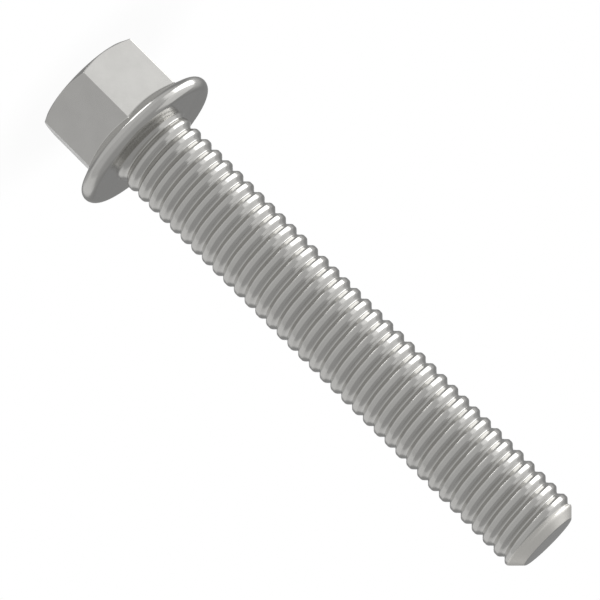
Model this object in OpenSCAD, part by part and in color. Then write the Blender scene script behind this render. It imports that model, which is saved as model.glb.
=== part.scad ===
// Hexagon flange bolt, metric coarse thread, right-hand.
// Millimetres. The origin is the centre of the bearing face, the shank points up along +Z
// and the head hangs below it, so the bolt stands on the flat end of its head.

/* [Head] */
// Width of the hexagon across its flats, for an 8 mm wrench
across_flats = 7.8; // [7.2:0.05:8.4]
// Height of the whole head, from the bearing face to the end of the hexagon
head_height = 6; // [5:0.1:8]
// Angle of the chamfer on the hexagon's corners, against the flat end
chamfer_angle = 30; // [15:1:40]
// Diameter of the flat end inside the chamfer
end_flat_diameter = 7.6; // [6:0.1:7.8]

/* [Flange] */
// Outer diameter of the flange
flange_diameter = 11.05; // [10:0.05:13]
// Radius of the rim's edge on the side of the bearing face
face_edge_radius = 0.58; // [0.4:0.02:0.7]
// Radius of the rim's edge on the side of the hexagon
back_edge_radius = 0.51; // [0.3:0.01:0.7]
// Rise of the flange's back from the rim to the hexagon, against the bearing face
back_angle = 25; // [10:1:35]

/* [Shank] */
// Length of the shank, from the bearing face to the tip
shank_length = 36.9; // [15:0.1:60]
// Radius of the fillet between the bearing face and the shank
fillet_radius = 0.2; // [0.1:0.05:0.25]
// Diameter of the flat tip
tip_diameter = 4.2; // [3.6:0.1:5]
// Angle of the tip's chamfer, against the axis
tip_angle = 45; // [30:1:60]

/* [Thread] */
// Diameter over the thread crests
thread_diameter = 5.86; // [5.8:0.02:6]
// Axial distance from one crest to the next
thread_pitch = 1; // [0.9:0.05:1.25]
// Radial depth of the groove
groove_depth = 0.3; // [0.1:0.01:0.33]
// Width of the groove's flat root
root_width = 0.08; // [0.04:0.01:0.15]
// Angle of each flank, against the plane across the axis
flank_angle = 45; // [30:1:48]
// Height above the bearing face at which the groove first passes the +X side
groove_start = 0.3; // [0.2:0.05:0.6]

/* [Hidden] */
$fn = 96;
steel = [0.66, 0.66, 0.64];
head_corner_radius = across_flats / sqrt(3);
flange_radius = flange_diameter / 2;
crest_radius = thread_diameter / 2;
root_radius = crest_radius - groove_depth;
// Level inside the flange where the hexagon and the shank begin
inside = -face_edge_radius;
// Height of the groove's open side above the crests, so that the cut comes out clean
clearance = 0.05;

// Half-width of the groove at a given radius
function groove_half(radius) = root_width / 2 + (radius - root_radius) * tan(flank_angle);

// Turns of the groove before and after it first passes the +X side: it begins below the
// bearing face, inside the head, and runs out past the tip
first_turn = -(groove_start + groove_half(crest_radius + clearance)) / thread_pitch;
last_turn = (shank_length - groove_start) / thread_pitch + 0.55;
turns = last_turn - first_turn;
// Straight steps that one turn of the groove is made of, fewer on a long shank
steps_per_turn = min(36, floor(1470 / turns));
steps = ceil(turns * steps_per_turn);

// One section of the groove, as [radius, height above its middle] points
groove_section = [
    [root_radius, -root_width / 2],
    [root_radius, root_width / 2],
    [crest_radius + clearance, groove_half(crest_radius + clearance)],
    [crest_radius + clearance, -groove_half(crest_radius + clearance)]
];

// Solid of the helical groove
module thread_groove() {
    points = [
        for (i = [0:steps])
            let (turn = first_turn + i / steps_per_turn)
                for (p = groove_section)
                    [
                        p[0] * cos(360 * turn),
                        p[0] * sin(360 * turn),
                        p[1] + groove_start + thread_pitch * turn
                    ]
    ];
    // Four walls join each section to the next, two triangles to a wall
    n = 4 * steps;
    walls = [
        for (i = [0:4:n - 4], j = [0:3])
            let (a = i + j, b = i + (j + 1) % 4)
                each [[a, b + 4, b], [a, a + 4, b + 4]]
    ];
    ends = [[0, 1, 2, 3], [n + 3, n + 2, n + 1, n]];
    polyhedron(points = points, faces = concat(walls, ends));
}

// Outline of the rounded rim and the flange's sloping back, on one side of the axis
module flange_outline() {
    face_centre = [flange_radius - face_edge_radius, inside];
    back_centre = [flange_radius - back_edge_radius, inside];
    touch = back_centre + back_edge_radius * [sin(back_angle), -cos(back_angle)];
    intersection() {
        translate(face_centre)
            circle(r = face_edge_radius);
        translate([0, inside])
            square([flange_diameter, face_edge_radius]);
    }
    intersection() {
        translate(back_centre)
            circle(r = back_edge_radius);
        translate([0, inside - back_edge_radius])
            square([flange_diameter, back_edge_radius]);
    }
    polygon([
        [0, 0],
        [face_centre[0], 0],
        face_centre,
        back_centre,
        touch,
        [0, touch[1] - touch[0] * tan(back_angle)]
    ]);
}

// Neck that joins the shank to the bearing face, which the groove leaves whole: a concave
// fillet that runs on as a 45 degree cone into the root of the thread
module neck_outline() {
    rise = fillet_radius * (1 - sin(45));
    depth = groove_depth + rise + 0.1;
    difference() {
        polygon([
            [0, inside],
            [crest_radius + fillet_radius, inside],
            [crest_radius + fillet_radius, 0],
            [crest_radius + rise, rise],
            [crest_radius + rise - depth, rise + depth],
            [0, rise + depth]
        ]);
        translate([crest_radius + fillet_radius, fillet_radius])
            circle(r = fillet_radius);
    }
}

// Outline of the shank before it is threaded, with the chamfered tip
module shank_outline() {
    tip_radius = tip_diameter / 2;
    chamfer_height = (crest_radius - tip_radius) / tan(tip_angle);
    polygon([
        [0, inside],
        [crest_radius, inside],
        [crest_radius, shank_length - chamfer_height],
        [tip_radius, shank_length],
        [0, shank_length]
    ]);
}

// Hexagon with its corners turned off by a cone
module hexagon_head() {
    end_radius = end_flat_diameter / 2;
    height = head_height + inside;
    intersection() {
        translate([0, 0, -head_height])
            linear_extrude(height)
                circle(r = head_corner_radius, $fn = 6);
        rotate_extrude()
            polygon([
                [0, -head_height],
                [end_radius, -head_height],
                [end_radius + height / tan(chamfer_angle), inside],
                [0, inside]
            ]);
    }
}

// Shank with its thread, on the neck that joins it to the head
module threaded_shank() {
    difference() {
        rotate_extrude()
            shank_outline();
        thread_groove();
    }
    rotate_extrude()
        neck_outline();
}

module flange_bolt() {
    color(steel) {
        hexagon_head();
        rotate_extrude()
            flange_outline();
        threaded_shank();
    }
}

flange_bolt();
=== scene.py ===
"""A hexagon flange bolt of bright cold-formed steel, standing on its head on a pale table.

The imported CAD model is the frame: metres, the origin in the middle of the bearing face, +Z to
the tip of the shank. The bolt's mesh repeats the CAD solid with rounded edges and a finer
thread, and the camera looks at it from the side of the photograph.
"""

import logging
import math
from dataclasses import dataclass, field

import bpy
import numpy as np
from mathutils import Matrix, Vector


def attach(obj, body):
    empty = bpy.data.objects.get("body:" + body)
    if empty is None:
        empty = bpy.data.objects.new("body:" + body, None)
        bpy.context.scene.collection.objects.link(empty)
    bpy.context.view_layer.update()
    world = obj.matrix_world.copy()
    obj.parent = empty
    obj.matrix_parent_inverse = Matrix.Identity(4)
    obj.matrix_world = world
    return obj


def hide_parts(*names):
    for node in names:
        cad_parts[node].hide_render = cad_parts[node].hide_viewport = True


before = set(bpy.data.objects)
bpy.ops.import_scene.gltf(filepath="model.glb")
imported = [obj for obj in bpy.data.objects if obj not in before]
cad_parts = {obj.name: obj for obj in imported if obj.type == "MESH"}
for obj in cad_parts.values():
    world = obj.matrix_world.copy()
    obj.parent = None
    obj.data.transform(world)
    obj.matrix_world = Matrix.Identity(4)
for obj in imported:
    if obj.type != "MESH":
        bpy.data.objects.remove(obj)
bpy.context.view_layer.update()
MM = 0.001

log = logging.getLogger("flange_bolt")


def linear(colour: str) -> tuple[float, float, float, float]:
    """Turns an sRGB hex colour into linear light.

    Args:
        colour: six hex digits after a hash sign.

    Returns:
        Red, green, blue and alpha, with alpha 1.
    """
    parts = (int(colour[i : i + 2], 16) / 255 for i in (1, 3, 5))
    return (*(c / 12.92 if c <= 0.04045 else ((c + 0.055) / 1.055) ** 2.4 for c in parts), 1.0)


def add_node(
    tree: bpy.types.NodeTree, kind: str, inputs: dict | None = None, **settings: object
) -> bpy.types.Node:
    """Adds a shader node.

    Args:
        tree: the node tree.
        kind: Blender's class name of the node.
        inputs: a value, or an output socket to link, for each input by name or number.
        settings: values of the node's own properties.

    Returns:
        The new node.
    """
    node = tree.nodes.new(kind)
    for name, value in settings.items():
        setattr(node, name, value)
    for key, value in (inputs or {}).items():
        if isinstance(value, bpy.types.NodeSocket):
            tree.links.new(value, node.inputs[key])
        else:
            node.inputs[key].default_value = value
    return node


def seen_directly(tree: bpy.types.NodeTree) -> bpy.types.NodeSocket:
    """Tells the rays that show the white background from those that light the bolt.

    Args:
        tree: the node tree.

    Returns:
        1 for a camera or transmission ray, 0 for any other.
    """
    path = add_node(tree, "ShaderNodeLightPath").outputs
    return add_node(
        tree,
        "ShaderNodeMath",
        {0: path["Is Camera Ray"], 1: path["Is Transmission Ray"]},
        operation="MAXIMUM",
    ).outputs[0]


def smaller(a: np.ndarray, b: np.ndarray, blend: float) -> np.ndarray:
    """The smaller of two surfaces, with a rounded edge where they cross.

    min(a, b) - h^2 k / 4, with h = max(k - |a - b|, 0) / k and k the blend.

    Args:
        a: first radius.
        b: second radius.
        blend: difference below which the edge is rounded.

    Returns:
        The blended radius.
    """
    h = np.maximum(blend - np.abs(a - b), 0) / blend
    return np.minimum(a, b) - h * h * blend / 4


def larger(a: np.ndarray, b: np.ndarray, blend: float) -> np.ndarray:
    """The larger of two surfaces, with a rounded valley where they cross.

    Args:
        a: first radius.
        b: second radius.
        blend: difference below which the valley is rounded.

    Returns:
        The blended radius.
    """
    return -smaller(-a, -b, blend)


def mesh_object(name: str, points: np.ndarray, triangles: np.ndarray) -> bpy.types.Object:
    """Puts a smooth-shaded triangle mesh into the scene.

    Args:
        name: the object's name.
        points: vertex positions in metres, one row each.
        triangles: vertex numbers, three to a row, counter-clockwise from outside.

    Returns:
        The new object, at the origin.
    """
    mesh = bpy.data.meshes.new(name)
    mesh.vertices.add(len(points))
    mesh.vertices.foreach_set("co", points.astype(np.float32).ravel())
    mesh.loops.add(triangles.size)
    mesh.loops.foreach_set("vertex_index", triangles.astype(np.int32).ravel())
    mesh.polygons.add(len(triangles))
    mesh.polygons.foreach_set("loop_start", np.arange(0, triangles.size, 3, dtype=np.int32))
    mesh.polygons.foreach_set("use_smooth", np.ones(len(triangles), dtype=bool))
    mesh.update(calc_edges=True)
    mesh.validate()
    piece = bpy.data.objects.new(name, mesh)
    bpy.context.collection.objects.link(piece)
    return piece


@dataclass(frozen=True)
class BrightSteel:
    """Cold-formed carbon steel, tumbled bright and left plain, with a turned chamfer at the tip.

    To the eye it is a smooth grey mirror that is slightly blurred, so that the thread's crests
    carry long soft highlights and the flats of the hexagon stay even. Tone and gloss drift a
    little over a millimetre or two, and the tumbling leaves a grain too fine to feel. The
    chamfer was turned before the thread was rolled: its tool marks are too fine to see one by
    one, and scatter the light, so that it looks more even than the thread. Its paler colour is
    painted light, which makes the chamfer brighter than the room's light alone makes it.
    """

    name: str = "bright_cold_formed_steel"
    colour: str = "#CDCCC9"
    worn_colour: str = "#C2C1BE"
    roughness: float = 0.17
    roughness_spread: float = 0.05
    cloud_mm: float = 1.6
    cloud_detail: float = 3.0
    cloud_fineness: float = 0.55
    # Range of the cloud noise over which the gloss changes
    cloud_range: tuple[float, float] = (0.3, 0.7)
    grain_mm: float = 0.12
    grain_detail: float = 2.0
    grain_depth_mm: float = 0.0003
    # Painted light: a paler colour that brightens the chamfer; its roughness below is its real
    # turned finish
    chamfer_painted_pale_colour: str = "#E9E7E2"
    turned_roughness: float = 0.42
    # Width of the turned finish's two fades, which end this far inside the chamfer's edges
    turned_fade_mm: float = 0.04
    turned_inset_mm: float = 0.01

    def material(self, turned_mm: tuple[float, float]) -> bpy.types.Material:
        """Builds the steel: faint clouds in tone and gloss, and a fine tumbled grain.

        Args:
            turned_mm: heights between which the turned chamfer lies.

        Returns:
            The material.
        """
        material = bpy.data.materials.new(self.name)
        material.use_nodes = True
        tree = material.node_tree
        tree.nodes.clear()
        place = add_node(tree, "ShaderNodeTexCoord").outputs["Object"]
        clouds = add_node(
            tree,
            "ShaderNodeTexNoise",
            {
                "Vector": place,
                "Scale": 1 / (self.cloud_mm * MM),
                "Detail": self.cloud_detail,
                "Roughness": self.cloud_fineness,
            },
        ).outputs["Fac"]
        grain = add_node(
            tree,
            "ShaderNodeTexNoise",
            {
                "Vector": place,
                "Scale": 1 / (self.grain_mm * MM),
                "Detail": self.grain_detail,
            },
        ).outputs["Fac"]
        tumbled_tone = add_node(
            tree,
            "ShaderNodeMix",
            {"Factor": clouds, 6: linear(self.worn_colour), 7: linear(self.colour)},
            data_type="RGBA",
        ).outputs[2]
        # Paler clouds are also the smoother ones
        tumbled_gloss = add_node(
            tree,
            "ShaderNodeMapRange",
            {
                "Value": clouds,
                "From Min": self.cloud_range[0],
                "From Max": self.cloud_range[1],
                "To Min": self.roughness + self.roughness_spread / 2,
                "To Max": self.roughness - self.roughness_spread / 2,
            },
        ).outputs["Result"]
        turned = self.turned_share(tree, place, turned_mm)
        # On the chamfer the paler colour is painted light, and the rougher gloss is its real
        # turned finish
        tone = add_node(
            tree,
            "ShaderNodeMix",
            {"Factor": turned, 6: tumbled_tone, 7: linear(self.chamfer_painted_pale_colour)},
            data_type="RGBA",
        ).outputs[2]
        gloss = add_node(
            tree,
            "ShaderNodeMix",
            {"Factor": turned, 2: tumbled_gloss, 3: self.turned_roughness},
            data_type="FLOAT",
        ).outputs[0]
        bump = add_node(
            tree,
            "ShaderNodeBump",
            {"Height": grain, "Distance": self.grain_depth_mm * MM, "Strength": 1.0},
        ).outputs["Normal"]
        steel = add_node(
            tree,
            "ShaderNodeBsdfPrincipled",
            {"Base Color": tone, "Metallic": 1.0, "Roughness": gloss, "Normal": bump},
        )
        add_node(tree, "ShaderNodeOutputMaterial", {"Surface": steel.outputs["BSDF"]})
        return material

    def turned_share(
        self,
        tree: bpy.types.NodeTree,
        place: bpy.types.NodeSocket,
        turned_mm: tuple[float, float],
    ) -> bpy.types.NodeSocket:
        """Marks the turned chamfer by its height on the bolt, for its rougher finish and its paler
        painted light.

        Args:
            tree: the node tree.
            place: the Object coordinates.
            turned_mm: heights between which the chamfer lies.

        Returns:
            1 on the chamfer, 0 elsewhere.
        """
        height = add_node(tree, "ShaderNodeSeparateXYZ", {0: place}).outputs["Z"]
        fade = self.turned_fade_mm
        full = turned_mm[0] + self.turned_inset_mm
        gone = turned_mm[1] - self.turned_inset_mm
        above = add_node(
            tree,
            "ShaderNodeMapRange",
            {"Value": height, "From Min": (full - fade) * MM, "From Max": full * MM},
        ).outputs["Result"]
        below = add_node(
            tree,
            "ShaderNodeMapRange",
            {"Value": height, "From Min": gone * MM, "From Max": (gone - fade) * MM},
        ).outputs["Result"]
        return add_node(
            tree, "ShaderNodeMath", {0: above, 1: below}, operation="MULTIPLY"
        ).outputs[0]


@dataclass
class Outline:
    """Sizes of the bolt in millimetres, which repeat the CAD source, and its radii as functions.

    The blends at the end are the scene's own. The root's is the w of the groove's formula,
    and each of the others is the difference between two crossing surfaces below which their
    edge or valley is rounded.
    """

    across_flats: float = 7.8
    head_height: float = 6.0
    chamfer_angle: float = 30.0
    end_flat_diameter: float = 7.6
    flange_diameter: float = 11.05
    face_edge_radius: float = 0.58
    back_edge_radius: float = 0.51
    back_angle: float = 25.0
    shank_length: float = 36.9
    fillet_radius: float = 0.2
    tip_diameter: float = 4.2
    tip_angle: float = 45.0
    thread_diameter: float = 5.86
    thread_pitch: float = 1.0
    groove_depth: float = 0.3
    root_width: float = 0.08
    flank_angle: float = 45.0
    groove_start: float = 0.3
    crest_blend: float = 0.07
    root_blend: float = 0.05
    neck_blend: float = 0.05
    tip_blend: float = 0.08
    hexagon_blend: float = 0.05

    @property
    def crest(self) -> float:
        """Radius over the crests."""
        return self.thread_diameter / 2

    @property
    def root(self) -> float:
        """Radius of the groove's root."""
        return self.crest - self.groove_depth

    @property
    def tip_chamfer_start(self) -> float:
        """Height at which the tip's chamfer leaves the crests."""
        depth = self.crest - self.tip_diameter / 2
        return self.shank_length - depth / math.tan(math.radians(self.tip_angle))

    def hexagon(self, turn: np.ndarray) -> np.ndarray:
        """Radius of the hexagon, with its corners rounded.

        Half the width across the flats / cos(angle from the middle of the nearest flat).

        Args:
            turn: angle round the axis in radians, 0 at a corner.

        Returns:
            The radius at each angle.
        """
        from_corner = (turn + math.pi / 6) % (math.pi / 3) - math.pi / 6
        flat = self.across_flats / 2
        one = flat / np.cos(math.pi / 6 - from_corner)
        other = flat / np.cos(math.pi / 6 + from_corner)
        return smaller(one, other, self.hexagon_blend)

    def neck(self, height: np.ndarray) -> np.ndarray:
        """Radius of the neck: the fillet's lower arc, then a 45 degree cone down to the root.

        The arc is crest + f - sqrt(f^2 - (f - height)^2), with f the fillet's radius.

        Args:
            height: height over the bearing face in millimetres.

        Returns:
            The radius at each height.
        """
        f = self.fillet_radius
        rise = f * (1 - math.sqrt(0.5))
        arc = self.crest + f - np.sqrt(np.maximum(f * f - (f - np.minimum(height, f)) ** 2, 0))
        cone = self.crest + 2 * rise - height
        return np.where(height < rise, arc, cone)

    def blank(self, height: np.ndarray) -> np.ndarray:
        """Radius of the shank before it is threaded: a cylinder with a chamfered tip.

        Args:
            height: height over the bearing face in millimetres.

        Returns:
            The radius at each height.
        """
        slope = math.tan(math.radians(self.tip_angle))
        tip = self.tip_diameter / 2 + (self.shank_length - height) * slope
        return smaller(self.crest + 0 * height, tip, self.tip_blend)

    def shank(self, turn: np.ndarray, height: np.ndarray) -> np.ndarray:
        """Radius of the threaded shank.

        The groove's middle climbs by one pitch a turn. At the distance s from it along the
        axis the groove's radius is root + (sqrt(s^2 + w^2) - root_width / 2) / tan(flank),
        with w the root's blend. The shank is the smaller of that and the blank, and never
        less than the neck.

        Args:
            turn: angle round the axis in radians.
            height: height over the bearing face in millimetres.

        Returns:
            The radius at each point.
        """
        pitch = self.thread_pitch
        along = height - self.groove_start - pitch * turn / (2 * math.pi)
        off = along - pitch * np.round(along / pitch)
        rounded = np.sqrt(off * off + self.root_blend**2)
        flank = math.tan(math.radians(self.flank_angle))
        groove = self.root + (rounded - self.root_width / 2) / flank
        threaded = smaller(self.blank(height), groove, self.crest_blend)
        return larger(threaded, self.neck(height), self.neck_blend)


@dataclass
class FlangeBolt:
    """The whole bolt as one closed surface: rings for head and tip, helical rows between.

    Lengths are in millimetres. The cuts are what the rounding of an edge takes from each side
    of it.
    """

    sizes: Outline = field(default_factory=Outline)
    finish: BrightSteel = field(default_factory=BrightSteel)
    # Columns from one corner of the hexagon to the next
    near_corner_deg: tuple[float, ...] = (0.4, 0.9, 1.5, 2.7)
    first_column_deg: float = 5.4
    flat_columns: int = 15
    # Heights of one turn's rows over the groove's middle
    row_offsets: tuple[float, ...] = (
        -0.40, -0.35, -0.31, -0.27, -0.16, -0.05, 0.0, 0.05, 0.16, 0.27, 0.31, 0.35, 0.40, 0.50,
    )
    end_flat_cut: float = 0.05
    chamfer_cut: float = 0.04
    foot_cut: float = 0.08
    tip_cut: float = 0.08
    # A further point this many cuts from the edge keeps the flat beside it flat in the shading
    flat_margin: float = 1.35
    foot_steps: int = 7
    back_edge_steps: int = 11
    face_edge_steps: int = 13
    fillet_steps: int = 9
    # Where the bearing face's flat begins and ends, from its rounded edges
    face_margins: tuple[float, float] = (0.06, 0.05)
    # Depth under the tip's end at which the helical rows give way to rings
    tip_ring_depth: float = 0.45
    # A row this near to a ring is held at it
    hold: float = 0.015

    def columns(self) -> np.ndarray:
        """Angles of the columns: close together at the hexagon's corners, even between them.

        Returns:
            The angles in radians, from 0 up to a full turn.
        """
        near = np.array(self.near_corner_deg)
        first = self.first_column_deg
        span = np.linspace(first, 60 - first, self.flat_columns)
        sector = np.concatenate([[0.0], near, span, 60 - near[::-1]])
        return np.radians((60 * np.arange(6)[:, None] + sector[None, :]).ravel())

    @staticmethod
    def row(
        turn: np.ndarray, radius: float | np.ndarray, height: float | np.ndarray
    ) -> np.ndarray:
        """One row of the surface, (columns, 2) as radius and height."""
        return np.stack([radius + 0 * turn, height + 0 * turn], 1)

    @staticmethod
    def toward(corner: np.ndarray, other: np.ndarray, cut: float, share: float) -> np.ndarray:
        """Goes from each corner towards another point: corner + unit vector * distance.

        Args:
            corner: where to start, (columns, 2) as radius and height.
            other: the point to go towards.
            cut: length of the way in millimetres, held to a third of the whole.
            share: distance gone as a share of that length.

        Returns:
            The points reached.
        """
        side = other - corner
        length = np.linalg.norm(side, axis=1, keepdims=True)
        return corner + side / length * np.minimum(cut, length / 3) * share

    def softened(
        self,
        before: np.ndarray,
        corner: np.ndarray,
        after: np.ndarray,
        cut: float,
        steps: int = 5,
    ) -> list[np.ndarray]:
        """Rounds one corner of every column's outline.

        A quadratic curve (1-t)^2 a + 2t(1-t) corner + t^2 b joins the points a and b, which
        lie at the distance cut along the two sides.

        Args:
            before: the point before the corner, (columns, 2) as radius and height.
            corner: the corner.
            after: the point after it.
            cut: length taken from each side in millimetres.
            steps: points along the curve.

        Returns:
            The rows of points, in order.
        """
        a = self.toward(corner, before, cut, 1.0)
        b = self.toward(corner, after, cut, 1.0)
        curve = [
            (1 - t) ** 2 * a + 2 * t * (1 - t) * corner + t * t * b
            for t in np.linspace(0, 1, steps)
        ]
        first = self.toward(corner, before, cut, self.flat_margin)
        last = self.toward(corner, after, cut, self.flat_margin)
        return [first, *curve, last]

    def rim_rows(
        self, turn: np.ndarray, centre: float, radius: float, angles: np.ndarray
    ) -> list[np.ndarray]:
        """Rows round one edge of the flange's rim: centre + radius * (cos, sin) of each angle.

        Args:
            turn: angles of the columns in radians.
            centre: distance of the edge's centre from the axis, in millimetres.
            radius: the edge's radius.
            angles: angles of the rows in radians, 0 outwards.

        Returns:
            The rows in order, each (columns, 2) as radius and height.
        """
        middle = -self.sizes.face_edge_radius
        return [
            self.row(turn, centre + radius * math.cos(a), middle + radius * math.sin(a))
            for a in angles
        ]

    def head_rows(self, turn: np.ndarray) -> list[np.ndarray]:
        """Rows from the end of the hexagon over the rim to the fillet.

        Args:
            turn: angles of the columns in radians.

        Returns:
            The rows in order, each (columns, 2) as radius and height.
        """
        sizes = self.sizes
        low = -sizes.head_height
        end = sizes.end_flat_diameter / 2
        hexagon = sizes.hexagon(turn)
        back_angle = math.radians(sizes.back_angle)
        back_centre = sizes.flange_diameter / 2 - sizes.back_edge_radius
        face_centre = sizes.flange_diameter / 2 - sizes.face_edge_radius
        touch_radius = back_centre + sizes.back_edge_radius * math.sin(back_angle)
        touch_height = -sizes.face_edge_radius - sizes.back_edge_radius * math.cos(back_angle)

        chamfer_slope = math.tan(math.radians(sizes.chamfer_angle))
        pole = self.row(turn, 0, low)
        flat_edge = self.row(turn, end, low)
        chamfer = self.row(turn, hexagon, low + (hexagon - end) * chamfer_slope)
        foot_height = touch_height - (touch_radius - hexagon) * math.tan(back_angle)
        foot = self.row(turn, hexagon, foot_height)
        touch = self.row(turn, touch_radius, touch_height)

        rows = [self.row(turn, end / 2, low)]
        rows += self.softened(pole, flat_edge, chamfer, self.end_flat_cut)
        rows += self.softened(flat_edge, chamfer, foot, self.chamfer_cut)
        rows += [(chamfer + foot) / 2]
        rows += self.softened(chamfer, foot, touch, self.foot_cut, self.foot_steps)
        back_turn = np.radians(np.linspace(sizes.back_angle - 90, 0, self.back_edge_steps))
        face_turn = np.radians(np.linspace(0, 90, self.face_edge_steps)[1:])
        rows += self.rim_rows(turn, back_centre, sizes.back_edge_radius, back_turn)
        rows += self.rim_rows(turn, face_centre, sizes.face_edge_radius, face_turn)
        outer, inner = self.face_margins
        rows += [self.row(turn, face_centre - outer, 0)]
        rows += [self.row(turn, sizes.crest + sizes.fillet_radius + inner, 0)]
        return rows

    def foot_rows(self, turn: np.ndarray) -> list[np.ndarray]:
        """Rings up the fillet, evenly spaced along its arc.

        Args:
            turn: angles of the columns in radians.

        Returns:
            The rings in order, each (columns, 2) as radius and height.
        """
        angles = np.radians(np.linspace(0, 90, self.fillet_steps))
        heights = self.sizes.fillet_radius * (1 - np.cos(angles))
        return [self.row(turn, self.sizes.shank(turn, z + 0 * turn), z) for z in heights]

    def tip_rows(self, turn: np.ndarray) -> list[np.ndarray]:
        """Rings from where the helical rows end, over the tip's edge, to halfway in.

        Args:
            turn: angles of the columns in radians.

        Returns:
            The rings in order, each (columns, 2) as radius and height.
        """
        sizes = self.sizes
        start = sizes.shank_length - self.tip_ring_depth
        tip = sizes.tip_diameter / 2
        before = self.row(turn, sizes.shank(turn, start + 0 * turn), start)
        edge = self.row(turn, tip, sizes.shank_length)
        pole = self.row(turn, 0, sizes.shank_length)
        halfway = self.row(turn, tip / 2, sizes.shank_length)
        return [before, *self.softened(before, edge, pole, self.tip_cut), halfway]

    def surface(self) -> tuple[np.ndarray, np.ndarray]:
        """Works out the whole surface.

        Rows below and above the thread are rings. Between them each row follows the helix:
        its height is groove_start + q + pitch * turn / 2 pi, held between the two rings next
        to it, and where it is held it shares their vertices. In each column the row nearest
        to the tip's chamfer lies on its edge. Round the seam, a row joins the row of the next
        turn.

        Returns:
            Points in metres and triangles.
        """
        sizes = self.sizes
        pitch = sizes.thread_pitch
        turn = self.columns()
        n = len(turn)
        low_rows = self.head_rows(turn) + self.foot_rows(turn)
        high_rows = self.tip_rows(turn)
        low, high = sizes.fillet_radius, sizes.shank_length - self.tip_ring_depth
        turns = np.arange(-2, math.ceil((high - sizes.groove_start) / pitch) + 2)
        q = (turns[:, None] * pitch + np.array(self.row_offsets)[None, :]).ravel()
        height = sizes.groove_start + q[:, None] + pitch * turn[None, :] / (2 * math.pi)
        edge = sizes.tip_chamfer_start
        height[np.abs(height - edge).argmin(0), np.arange(n)] = edge
        held_low, held_high = height < low + self.hold, height > high - self.hold
        height = np.clip(height, low, high)
        helix = np.stack([sizes.shank(turn[None, :], height), height], 2)

        rings = np.array(low_rows + high_rows)
        flat = np.concatenate([rings.reshape(-1, 2), helix.reshape(-1, 2)])
        around = np.tile(turn, len(rings) + len(q))
        radius, level = flat.T
        points = np.stack([radius * np.cos(around), radius * np.sin(around), level], 1)
        poles = np.array([[0, 0, -sizes.head_height], [0, 0, sizes.shank_length]])
        points = np.concatenate([points, poles]) * MM

        ring = np.arange(len(rings) * n).reshape(len(rings), n)
        last_low, first_high = ring[len(low_rows) - 1], ring[len(low_rows)]
        number = len(rings) * n + np.arange(len(q) * n).reshape(len(q), n)
        number = np.where(held_low, last_low[None, :], number)
        number = np.where(held_high, first_high[None, :], number)
        seam = np.minimum(np.arange(len(q)) + len(self.row_offsets), len(q) - 1)
        number = np.concatenate([number, number[seam, :1]], 1)
        closed = np.concatenate([ring, ring[:, :1]], 1)
        bottom, top = len(points) - 2, len(points) - 1
        first, last = closed[0], closed[-1]
        triangles = [
            self.strips(closed[: len(low_rows)]),
            self.strips(number),
            self.strips(closed[len(low_rows) :]),
            np.stack([np.full(n, bottom), first[1:], first[:-1]], 1),
            np.stack([np.full(n, top), last[:-1], last[1:]], 1),
        ]
        return self.used(points, np.concatenate(triangles))

    @staticmethod
    def strips(number: np.ndarray) -> np.ndarray:
        """Joins neighbouring rows by two triangles a cell, and leaves out those without area.

        Args:
            number: vertex numbers, one row of the surface to a row.

        Returns:
            The triangles.
        """
        a, b = number[:-1, :-1].ravel(), number[:-1, 1:].ravel()
        c, d = number[1:, 1:].ravel(), number[1:, :-1].ravel()
        both = np.concatenate([np.stack([a, b, c], 1), np.stack([a, c, d], 1)])
        x, y, z = both.T
        return both[(x != y) & (y != z) & (z != x)]

    @staticmethod
    def used(points: np.ndarray, triangles: np.ndarray) -> tuple[np.ndarray, np.ndarray]:
        """Drops the points that no triangle uses and numbers the rest again."""
        kept, again = np.unique(triangles, return_inverse=True)
        return points[kept], again.reshape(triangles.shape)

    def build(self) -> bpy.types.Object:
        """Makes the bolt, gives it its finish and body, and hides the CAD part that it stands in
        for.

        Returns:
            The bolt.
        """
        bolt = mesh_object("flange_bolt_skin", *self.surface())
        turned = (self.sizes.tip_chamfer_start, self.sizes.shank_length)
        bolt.data.materials.append(self.finish.material(turned))
        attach(bolt, "root")
        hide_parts("flange_bolt")
        return bolt


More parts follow.
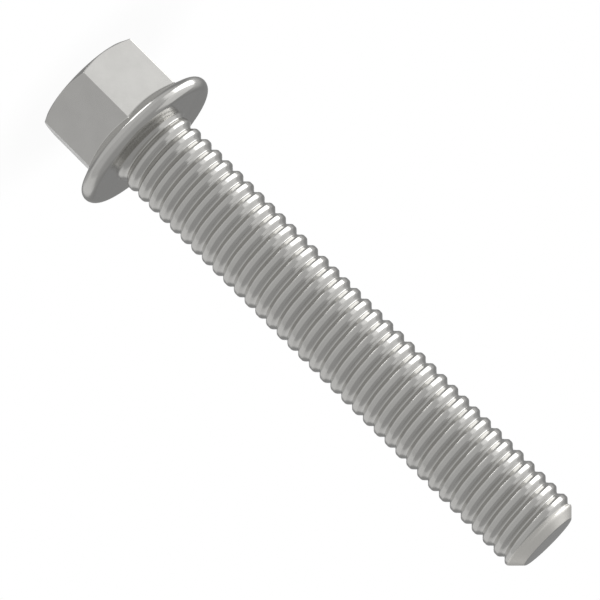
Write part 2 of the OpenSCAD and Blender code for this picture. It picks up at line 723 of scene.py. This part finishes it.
@dataclass
class Table:
    """A small round table top of matt white laminate, just under the end of the bolt's head.

    The steel does not mirror it, so that the head keeps the room's even tones.
    """

    radius_mm: float = 12.0
    height_mm: float = -6.02
    sides: int = 96
    colour: str = "#F2F2F0"
    roughness: float = 0.5
    # Share of the real shading, shadow included, that the camera sees near the head
    shade_share: float = 0.05
    shade_fade: tuple[float, float] = (0.5, 0.98)

    def material(self) -> bpy.types.Material:
        """Matt white that the camera sees as pure white, but for a faint shadow near the head.

        From below it is clear, so that the end of the head can be looked at.

        Returns:
            The material.
        """
        material = bpy.data.materials.new("matt_white_laminate")
        material.use_nodes = True
        tree = material.node_tree
        tree.nodes.clear()
        laminate = add_node(
            tree,
            "ShaderNodeBsdfDiffuse",
            {"Color": linear(self.colour), "Roughness": self.roughness},
        ).outputs[0]
        white = add_node(
            tree, "ShaderNodeEmission", {"Color": (1, 1, 1, 1), "Strength": 1.0}
        ).outputs[0]
        place = add_node(tree, "ShaderNodeTexCoord").outputs["Object"]
        flat = add_node(
            tree, "ShaderNodeVectorMath", {0: place, 1: (1, 1, 0)}, operation="MULTIPLY"
        ).outputs["Vector"]
        reach = add_node(
            tree, "ShaderNodeVectorMath", {0: flat}, operation="LENGTH"
        ).outputs["Value"]
        start, end = self.shade_fade
        shade = add_node(
            tree,
            "ShaderNodeMapRange",
            {
                "Value": reach,
                "From Min": self.radius_mm * MM * start,
                "From Max": self.radius_mm * MM * end,
                "To Min": self.shade_share,
                "To Max": 0.0,
            },
        ).outputs["Result"]
        seen = add_node(tree, "ShaderNodeMixShader", {0: shade, 1: white, 2: laminate}).outputs[0]
        top = add_node(
            tree, "ShaderNodeMixShader", {0: seen_directly(tree), 1: laminate, 2: seen}
        ).outputs[0]
        under = add_node(tree, "ShaderNodeNewGeometry").outputs["Backfacing"]
        clear = add_node(tree, "ShaderNodeBsdfTransparent").outputs[0]
        both = add_node(tree, "ShaderNodeMixShader", {0: under, 1: top, 2: clear})
        add_node(tree, "ShaderNodeOutputMaterial", {"Surface": both.outputs[0]})
        return material

    def build(self) -> bpy.types.Object:
        """Makes the disc: a fan of triangles round its middle.

        Returns:
            The table top.
        """
        n = self.sides
        turn = np.linspace(0, 2 * math.pi, n + 1)[:-1]
        rim = np.stack([np.cos(turn), np.sin(turn), 0 * turn], 1) * self.radius_mm
        points = np.concatenate([rim, [[0, 0, 0]]]) + np.array([0, 0, self.height_mm])
        here = np.arange(n)
        triangles = np.stack([here, np.roll(here, -1), np.full(n, n)], 1)
        table = mesh_object("table_top", points * MM, triangles)
        table.data.materials.append(self.material())
        table.visible_glossy = False
        return table


@dataclass(frozen=True)
class SoftBox:
    """A soft rectangular lamp that faces the bolt.

    Its azimuth runs from the camera's side of the bolt towards the picture's upper right, and
    its radiance adds to the tone of the wall behind it.
    """

    name: str
    azimuth_deg: float
    height_deg: float
    width_deg: float
    tall_deg: float
    radiance: float
    distance_mm: float = 400.0
    aim_mm: tuple[float, float, float] = (0.0, 0.0, 15.0)

    def side(self, degrees: float) -> float:
        """Length in metres of a side that spans an angle: 2 * distance * tan(angle / 2)."""
        return 2 * self.distance_mm * MM * math.tan(math.radians(degrees / 2))

    def build(self, camera_azimuth_deg: float) -> bpy.types.Object:
        """Makes the lamp. Its power is pi * area * radiance.

        Args:
            camera_azimuth_deg: azimuth of the camera's side in the bolt's frame.

        Returns:
            The lamp.
        """
        turn = math.radians(camera_azimuth_deg - self.azimuth_deg)
        rise = math.radians(self.height_deg)
        level = math.cos(rise)
        back = Vector((math.cos(turn) * level, math.sin(turn) * level, math.sin(rise)))
        light = bpy.data.lights.new(self.name, "AREA")
        light.shape = "RECTANGLE"
        light.size = self.side(self.width_deg)
        light.size_y = self.side(self.tall_deg)
        light.energy = math.pi * light.size * light.size_y * self.radiance
        lamp = bpy.data.objects.new(self.name, light)
        lamp.location = Vector(self.aim_mm) * MM + back * self.distance_mm * MM
        lamp.rotation_mode = "QUATERNION"
        lamp.rotation_quaternion = back.to_track_quat("Z", "Y")
        lamp.visible_camera = False
        bpy.context.collection.objects.link(lamp)
        return lamp


@dataclass
class PhotoCamera:
    """The camera of the photograph, placed by where the bolt's axis lies in the picture.

    The axis turns in the picture's plane and tilts out of it towards the camera. The corner
    of the hexagon that is nearest to the camera is turned a little off the line to it.
    """

    focal_px: float = 4908.93
    picture_px: float = 600.0
    sensor_mm: float = 36.0
    axis_turn_deg: float = -44.939
    axis_tilt_deg: float = 10.329
    corner_turn_deg: float = 3.0
    origin_mm: tuple[float, float, float] = (-9.7638, 10.0910, -321.641)
    clip_m: tuple[float, float] = (0.01, 10.0)

    def bolt_in_camera(self) -> Matrix:
        """Turns the bolt's frame into the camera's: its axis first, then its near corner.

        Returns:
            The matrix from the bolt's frame to the camera's.
        """
        turn, tilt = math.radians(self.axis_turn_deg), math.radians(self.axis_tilt_deg)
        level = math.cos(tilt)
        axis = Vector((level * math.cos(turn), level * math.sin(turn), math.sin(tilt)))
        to_camera = Vector((0, 0, 1))
        near = (to_camera - axis * axis.dot(to_camera)).normalized()
        upper = near.cross(axis)
        corner = math.radians(self.corner_turn_deg)
        x = near * math.cos(corner) + upper * math.sin(corner)
        y = axis.cross(x)
        turned = Matrix((x, y, axis)).transposed().to_4x4()
        return Matrix.Translation(Vector(self.origin_mm) * MM) @ turned

    def build(self) -> bpy.types.Object:
        """Makes the camera and makes it the scene's.

        Returns:
            The camera.
        """
        data = bpy.data.cameras.new("photo_camera")
        data.sensor_width = self.sensor_mm
        data.lens = self.focal_px * self.sensor_mm / self.picture_px
        data.clip_start, data.clip_end = self.clip_m
        camera = bpy.data.objects.new("photo_camera", data)
        camera.matrix_world = self.bolt_in_camera().inverted()
        bpy.context.collection.objects.link(camera)
        bpy.context.scene.camera = camera
        return camera


@dataclass
class Studio:
    """A plain grey room, darker behind the bolt, with soft lamps on both sides and one below.

    The steel mirrors this room. Tones and radiances are in linear light, where 1 is white. The
    fades to ceiling and floor run over the height of a direction of length 1, and the far ones
    over its cosine with the level direction away from the camera.
    """

    camera_azimuth_deg: float = 3.0
    camera_height_deg: float = 10.3
    wall: float = 0.6
    far_wall: float = 0.30
    far_wall_fade: tuple[float, float] = (0.7, 0.9)
    ceiling: float = 0.42
    far_ceiling: float = 0.27
    far_ceiling_fade: tuple[float, float] = (0.4, 0.8)
    ceiling_fade: tuple[float, float] = (0.3, 0.75)
    floor: float = 0.7
    far_floor: float = 0.34
    far_floor_fade: tuple[float, float] = (0.0, 0.4)
    floor_fade: tuple[float, float] = (-0.3, -0.6)
    # Half-width of the white card behind the bolt, and of its fully white middle
    card_deg: tuple[float, float] = (9.0, 6.3)
    lamps: tuple[SoftBox, ...] = (
        SoftBox("right_soft_box", 102.0, -5.0, 46.0, 36.0, 2.0),
        SoftBox("right_box_edge", 69.0, -5.0, 18.0, 36.0, 0.5),
        SoftBox("right_box_top", 99.5, 38.0, 60.0, 48.0, 0.42),
        SoftBox("left_reflector", -122.0, -5.0, 50.0, 80.0, 0.17),
        SoftBox("low_strip", 112.0, -80.0, 26.0, 20.0, 2.2),
    )

    @staticmethod
    def faded(
        tree: bpy.types.NodeTree,
        value: bpy.types.NodeSocket,
        over: tuple[float, float],
        a: float | bpy.types.NodeSocket,
        b: float | bpy.types.NodeSocket,
    ) -> bpy.types.NodeSocket:
        """Goes smoothly from one tone to another as a value passes a range.

        Args:
            tree: the node tree.
            value: what the fade follows.
            over: where it starts and where it ends.
            a: tone before the range.
            b: tone after it.

        Returns:
            The tone.
        """
        share = add_node(
            tree,
            "ShaderNodeMapRange",
            {"Value": value, "From Min": over[0], "From Max": over[1]},
            interpolation_type="SMOOTHSTEP",
        ).outputs["Result"]
        mix = add_node(tree, "ShaderNodeMix", {"Factor": share, "A": a, "B": b}, data_type="FLOAT")
        return mix.outputs["Result"]

    @staticmethod
    def along(
        tree: bpy.types.NodeTree, way: bpy.types.NodeSocket, other: Vector
    ) -> bpy.types.NodeSocket:
        """Cosine between the ray's direction and another one of length 1."""
        return add_node(
            tree, "ShaderNodeVectorMath", {0: way, 1: other}, operation="DOT_PRODUCT"
        ).outputs["Value"]

    def walls(
        self, tree: bpy.types.NodeTree, way: bpy.types.NodeSocket, away: Vector
    ) -> bpy.types.NodeSocket:
        """Tone of the room by direction: floor, wall and ceiling, each darker at the far end.

        Args:
            tree: the node tree.
            way: the ray's direction.
            away: level direction away from the camera.

        Returns:
            The tone.
        """
        height = add_node(tree, "ShaderNodeSeparateXYZ", {0: way}).outputs["Z"]
        behind = self.along(tree, way, away)
        wall = self.faded(tree, behind, self.far_wall_fade, self.wall, self.far_wall)
        above = self.faded(tree, behind, self.far_ceiling_fade, self.ceiling, self.far_ceiling)
        below = self.faded(tree, behind, self.far_floor_fade, self.floor, self.far_floor)
        tone = self.faded(tree, height, self.ceiling_fade, wall, above)
        return self.faded(tree, height, self.floor_fade, tone, below)

    def card(
        self, tree: bpy.types.NodeTree, way: bpy.types.NodeSocket, away: Vector
    ) -> bpy.types.NodeSocket:
        """Share of the white card in the camera's line of sight, which the steel mirrors too.

        Args:
            tree: the node tree.
            way: the ray's direction.
            away: level direction away from the camera.

        Returns:
            1 for a glossy ray that meets the card, 0 for any other ray.
        """
        rise = math.radians(self.camera_height_deg)
        sight = away * math.cos(rise) - Vector((0, 0, math.sin(rise)))
        edge, middle = (math.cos(math.radians(degrees)) for degrees in self.card_deg)
        white = self.faded(tree, self.along(tree, way, sight), (edge, middle), 0.0, 1.0)
        glossy = add_node(tree, "ShaderNodeLightPath").outputs["Is Glossy Ray"]
        return add_node(
            tree, "ShaderNodeMath", {0: glossy, 1: white}, operation="MULTIPLY"
        ).outputs[0]

    def build(self) -> list[bpy.types.Object]:
        """Makes the lamps and the room, in which the camera sees white in every direction.

        Returns:
            The lamps.
        """
        lamps = [lamp.build(self.camera_azimuth_deg) for lamp in self.lamps]
        world = bpy.data.worlds.new("studio_room")
        bpy.context.scene.world = world
        world.use_nodes = True
        tree = world.node_tree
        tree.nodes.clear()
        azimuth = math.radians(self.camera_azimuth_deg)
        away = Vector((-math.cos(azimuth), -math.sin(azimuth), 0.0))
        way = add_node(tree, "ShaderNodeTexCoord").outputs["Generated"]
        tone = self.walls(tree, way, away)
        seen = add_node(
            tree,
            "ShaderNodeMath",
            {0: seen_directly(tree), 1: self.card(tree, way, away)},
            operation="MAXIMUM",
        ).outputs[0]
        strength = add_node(
            tree, "ShaderNodeMix", {"Factor": seen, "A": tone, "B": 1.0}, data_type="FLOAT"
        ).outputs["Result"]
        room = add_node(
            tree, "ShaderNodeBackground", {"Color": (1, 1, 1, 1), "Strength": strength}
        )
        add_node(tree, "ShaderNodeOutputWorld", {"Surface": room.outputs[0]})
        return lamps


def main() -> None:
    """Builds the camera, the studio, the table and the bolt, and reports each."""
    logging.basicConfig(level=logging.INFO, format="%(name)s: %(message)s")
    bpy.context.scene.view_settings.view_transform = "Standard"
    camera = PhotoCamera().build()
    log.info("%s: lens %.1f mm", camera.name, camera.data.lens)
    for lamp in Studio().build():
        log.info("%s: %.3f W", lamp.name, lamp.data.energy)
    table = Table().build()
    log.info("%s: %d triangles", table.name, len(table.data.polygons))
    bolt = FlangeBolt().build()
    log.info("%s: %d triangles", bolt.name, len(bolt.data.polygons))


if __name__ == "__main__":
    main()
